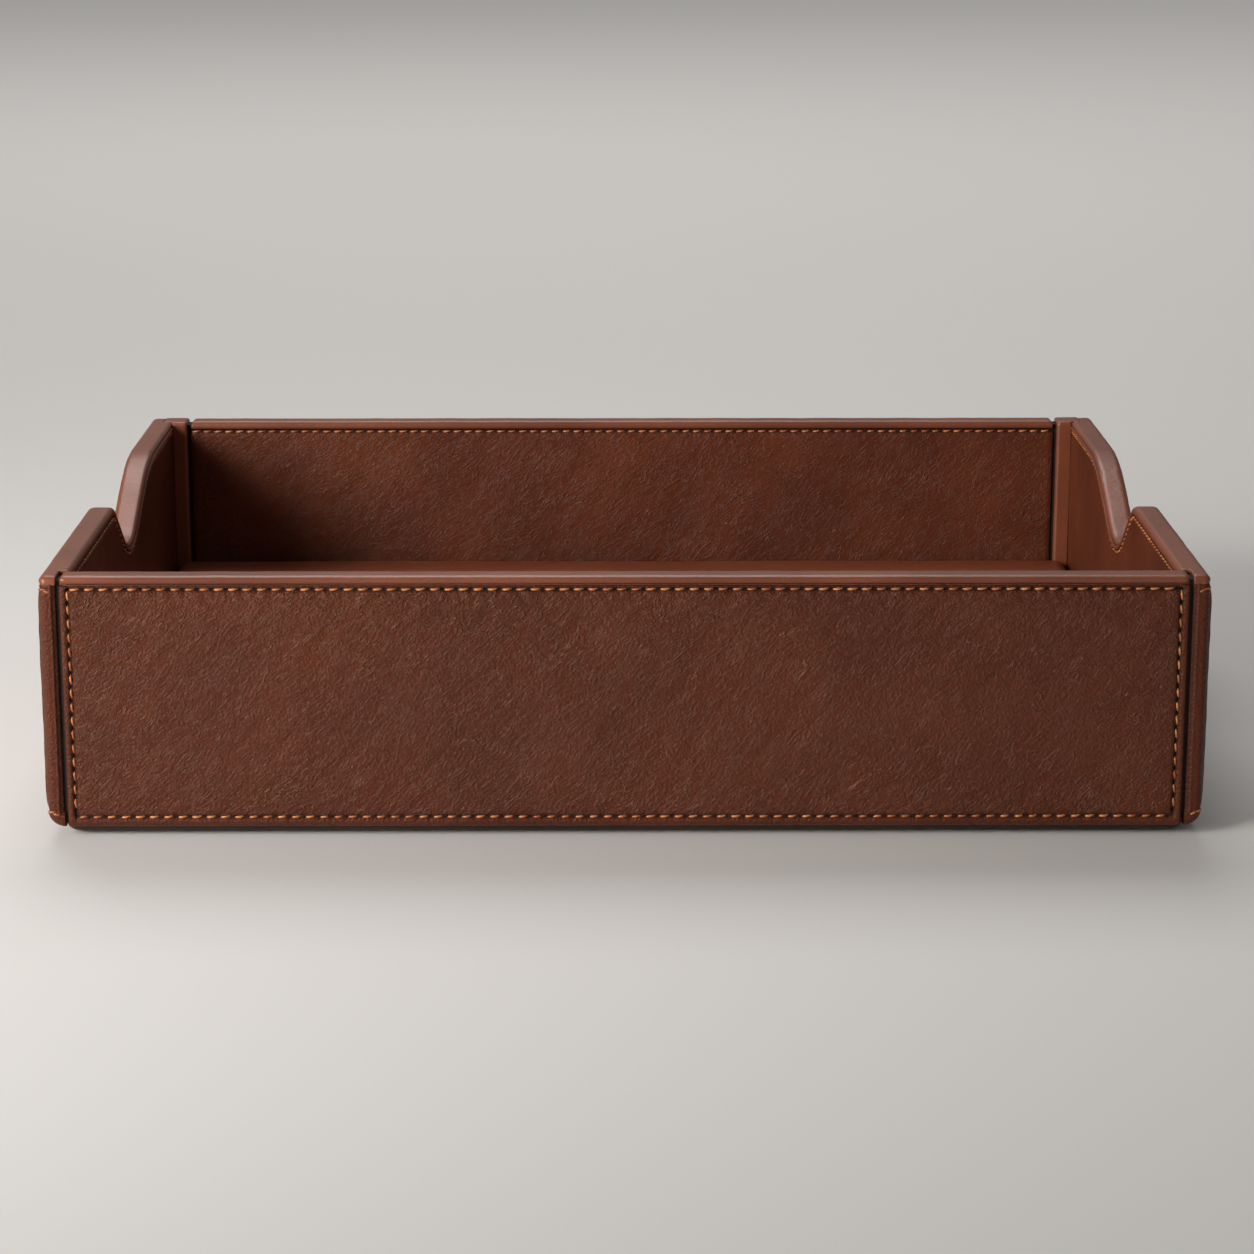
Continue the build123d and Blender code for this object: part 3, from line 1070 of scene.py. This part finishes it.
def side_lining(name, side, seed):
    """The lining of a side wall. Its top edge follows the scoop."""

    def place(station, row):
        y, top, tilt, along = station
        z = lining_level(row, top, tilt)
        if row[0] == "inner":
            return (side * (inner_x + lining_thickness), y, z), 0.0, 0.0
        inside = (top - z) * cos(tilt) - lining_row_drop
        relief, shade, crease = lining_relief(inside, along, 0, y, z, seed, False)
        return (side * (inner_x - relief), y, z), shade, crease

    return lay_leather(name, lining_stations, lining_rows, place)


linings = {
    "front": end_lining("front_lining_leather", -1, inner_x, 2.4),
    "back": end_lining("back_lining_leather", 1, lining_high.x / mm, 3.9),
    "left": side_lining("left_lining_leather", -1, 5.1),
    "right": side_lining("right_lining_leather", 1, 6.6),
}
for name, piece in linings.items():
    finish_with(piece, lining_leather)
    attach(piece, "root")
    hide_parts(name + "_lining")

# The floor pad.
# Leather over thin foam on a stiff board, resting on the battens. Its edges are rounded, and
# its middle swells a little.
floor_leather = leather(
    "floor_leather",
    (0.240, 0.064, 0.029, 1),
    (0.290, 0.080, 0.038, 1),
    (0.36, 0.14, 0.08, 1),
    pebble=0.02,
    crease=0.03,
    shine=0.42,
    gloss=0.24,
    seed=7.2,
)
pad_low, pad_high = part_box("floor_cover")
pad_size = pad_high - pad_low
pad_voxel = 1.7
pad_crown = 0.5
pad_crown_reach = 9
pad_unevenness = 0.2
pad_top_band = 2.2
pad_settling = 0.45
bpy.ops.object.select_all(action="DESELECT")
bpy.ops.mesh.primitive_cube_add(size=1, location=(pad_low + pad_high) / 2, scale=pad_size)
pad = bpy.context.object
pad.name = "floor_pad"
bpy.ops.object.transform_apply()
even = pad.modifiers.new("even", "REMESH")
even.mode = "VOXEL"
even.voxel_size = pad_voxel * mm
bpy.ops.object.modifier_apply(modifier="even")
smooth = pad.modifiers.new("smooth", "SMOOTH")
smooth.iterations = 4
bpy.ops.object.modifier_apply(modifier="smooth")
for point in pad.data.vertices:
    if point.co.z > pad_high.z - pad_top_band * mm:
        gap_x = (pad_high.x - abs(point.co.x)) / mm
        gap_y = (pad_high.y - abs(point.co.y)) / mm
        swell = pad_crown * (1 - exp(-min(gap_x, gap_y) / pad_crown_reach))
        swell += pad_unevenness * wander(*(point.co / mm), 45, 3.3)
        point.co.z += (swell - pad_settling) * mm
pad.data.attributes.new("seam", "FLOAT", "POINT")
pad.data.attributes.new("crease", "FLOAT", "POINT").data.foreach_set(
    "value", [0.3] * len(pad.data.vertices)
)
bpy.ops.object.shade_smooth()
finish_with(pad, floor_leather)
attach(pad, "root")
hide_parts("floor_cover")
finish_with(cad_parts["floor_board"], fibreboard)
finish_with(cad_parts["floor_foam"], soft_foam("pad_foam"))

# The sewing.
# Waxed two-ply thread in running stitches. Each stitch is a short arch that dips into its
# two holes.
thread_recipe = Recipe("waxed_thread")
thread_place = thread_recipe.node("ShaderNodeTexCoord", output="Object")
thread_fibres = thread_recipe.cloud(thread_place, 2400.0, 3.0)
thread_tone = thread_recipe.cloud(thread_place, 110.0)
thread_colour = thread_recipe.blend(
    thread_recipe.band(thread_tone, 0.35, 0.65), (0.31, 0.083, 0.021, 1), (0.52, 0.185, 0.058, 1)
)
waxed_thread = thread_recipe.surface(
    base_color=thread_colour,
    roughness=0.38,
    normal=thread_recipe.node(
        "ShaderNodeBump", None, {"Height": thread_fibres, "Distance": 0.0001}
    ),
)
stitch_length = 3.0
thread_radius = 0.35
stitch_dip = 0.75
stitch_slant = 0.16
stitch_cuts = (-0.42, -0.28, -0.1, 0.1, 0.28, 0.42)
thread_sink = 0.1


def model_stitch():
    """One stitch along X, with its outside towards Z: a thread that dips at both ends."""
    bpy.ops.object.select_all(action="DESELECT")
    bpy.ops.mesh.primitive_cylinder_add(vertices=6, radius=thread_radius * mm, depth=1)
    stitch = bpy.context.object
    bpy.ops.object.mode_set(mode="EDIT")
    bpy.ops.mesh.select_all(action="SELECT")
    for share in stitch_cuts:
        bpy.ops.mesh.bisect(plane_co=(0, 0, share), plane_no=(0, 0, 1))
        bpy.ops.mesh.select_all(action="SELECT")
    bpy.ops.object.mode_set(mode="OBJECT")
    for point in stitch.data.vertices:
        share = point.co.z * 2
        thin = sqrt(1 - abs(share) ** 3 * 0.75) * (1.06 - 0.16 * share)
        dip = stitch_dip * share * share
        x = share * stitch_length / 2 * mm
        y = point.co.x * thin + stitch_slant * share * mm
        point.co = Vector((x, y, point.co.y * thin - dip * mm))
    for face in stitch.data.polygons:
        face.use_smooth = True
    return stitch


def sew(name, places):
    """A row of stitches. Each place is a point, the way along the row and the way outwards."""
    copies = []
    for point, along, outward in places:
        across = outward.cross(along)
        turn = Matrix((along, across, outward)).transposed().to_4x4()
        copy = bpy.data.objects.new(name, first_stitch.data.copy())
        copy.data.transform(Matrix.Translation(point * mm) @ turn)
        bpy.context.scene.collection.objects.link(copy)
        copies.append(copy)
    bpy.ops.object.select_all(action="DESELECT")
    for copy in copies:
        copy.select_set(True)
    bpy.context.view_layer.objects.active = copies[0]
    bpy.ops.object.join()
    row = bpy.context.object
    row.name = name
    bpy.ops.object.mode_set(mode="EDIT")
    bpy.ops.mesh.select_all(action="SELECT")
    bpy.ops.mesh.normals_make_consistent(inside=False)
    bpy.ops.object.mode_set(mode="OBJECT")
    finish_with(row, waxed_thread)
    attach(row, "root")
    return row


first_stitch = model_stitch()


def end_panel_rows(facing):
    """Places of the stitches round the front or back panel."""
    outward = Vector((0, facing, 0))
    y = facing * (half_depth - thread_sink)
    right = Vector((1, 0, 0))
    down = Vector((0, 0, -1))
    row_left = -panel_half + end_row_inset
    row_right = panel_half - end_row_inset
    row_bottom = wall_foot + bottom_row_rise
    places = []
    for i in range(int((row_right - row_left) / stitch_pitch)):
        x = row_left + (i + 0.5) * stitch_pitch
        places.append((Vector((x, y, top_row_level)), right, outward))
        places.append((Vector((x, y, row_bottom)), right, outward))
    for i in range(int((top_row_level - row_bottom) / stitch_pitch)):
        z = top_row_level - (i + 0.5) * stitch_pitch
        places.append((Vector((row_left, y, z)), down, outward))
        places.append((Vector((row_right, y, z)), down, outward))
    return places


def lining_row(facing, half):
    """Places of the stitches under the front or back rim, inside the tray."""
    level = lining_top - lining_row_drop
    y = facing * (inner_y + thread_sink)
    outward = Vector((0, -facing, 0))
    places = []
    for i in range(int(2 * half / lining_pitch)):
        x = -half + (i + 0.5) * lining_pitch
        places.append((Vector((x, y, level)), Vector((1, 0, 0)), outward))
    return places


def row_along(stations, row_drop, pitch, x, outward):
    """Places of stitches along a side wall, a little below a line of stations."""
    places = []
    wanted = pitch / 2
    for before, after in zip(stations, stations[1:]):
        while before[3] <= wanted < after[3]:
            share = (wanted - before[3]) / (after[3] - before[3])
            y, z, tilt = [before[i] + (after[i] - before[i]) * share for i in range(3)]
            point = Vector((x, y, z - row_drop / cos(tilt)))
            places.append((point, Vector((0, cos(tilt), -sin(tilt))), outward))
            wanted += pitch
    return places


tack_inset = 2.7
tack_fall = 0.7
tack_slope = 0.4
corner_tack_fall = 0.1
bottom_tack_fall = 0.6


def corner_tacks(side, facing, level):
    """Two stitches that take a row round an upright corner and slanting on to the wall's end."""
    turned = Vector((side, facing, 0)).normalized()
    round_corner = Vector((-side, facing, 0)).normalized()
    x = side * (half_width - corner_radius)
    on_corner = Vector((x, facing * corner_y, level - corner_tack_fall))
    on_corner += turned * (corner_radius - thread_sink)
    slanting = Vector((-side, 0, -tack_slope)).normalized()
    x = side * (half_width - tack_inset)
    on_end = Vector((x, facing * (half_depth - thread_sink), level - tack_fall))
    return [(on_corner, round_corner, turned), (on_end, slanting, Vector((0, facing, 0)))]


def side_panel_rows(side):
    """Places of the stitches under a side wall's rim, along its foot and round its corners."""
    outward = Vector((side, 0, 0))
    face = side * (half_width - thread_sink)
    seam_run = side_stations(cover_drop, -corner_y, corner_y, side_spacing)
    places = row_along(seam_run, side_row_drop, stitch_pitch, face, outward)
    for i in range(int(2 * corner_y / stitch_pitch)):
        y = -corner_y + (i + 0.5) * stitch_pitch
        places.append((Vector((face, y, side_bottom_row)), Vector((0, 1, 0)), outward))
    for facing in (-1, 1):
        places += corner_tacks(side, facing, seam_level - side_row_drop)
        places += corner_tacks(side, facing, side_bottom_row - bottom_tack_fall)
    return places


sew("front_stitches", end_panel_rows(-1))
sew("back_stitches", end_panel_rows(1))
sew("front_lining_stitches", lining_row(-1, inner_x))
sew("back_lining_stitches", lining_row(1, lining_high.x / mm))
for name, side in (("left", -1), ("right", 1)):
    sew(name + "_stitches", side_panel_rows(side))
    face = side * (inner_x + thread_sink)
    inward = Vector((-side, 0, 0))
    places = row_along(lining_stations, lining_row_drop, lining_pitch, face, inward)
    sew(name + "_lining_stitches", places)
bpy.data.objects.remove(first_stitch)
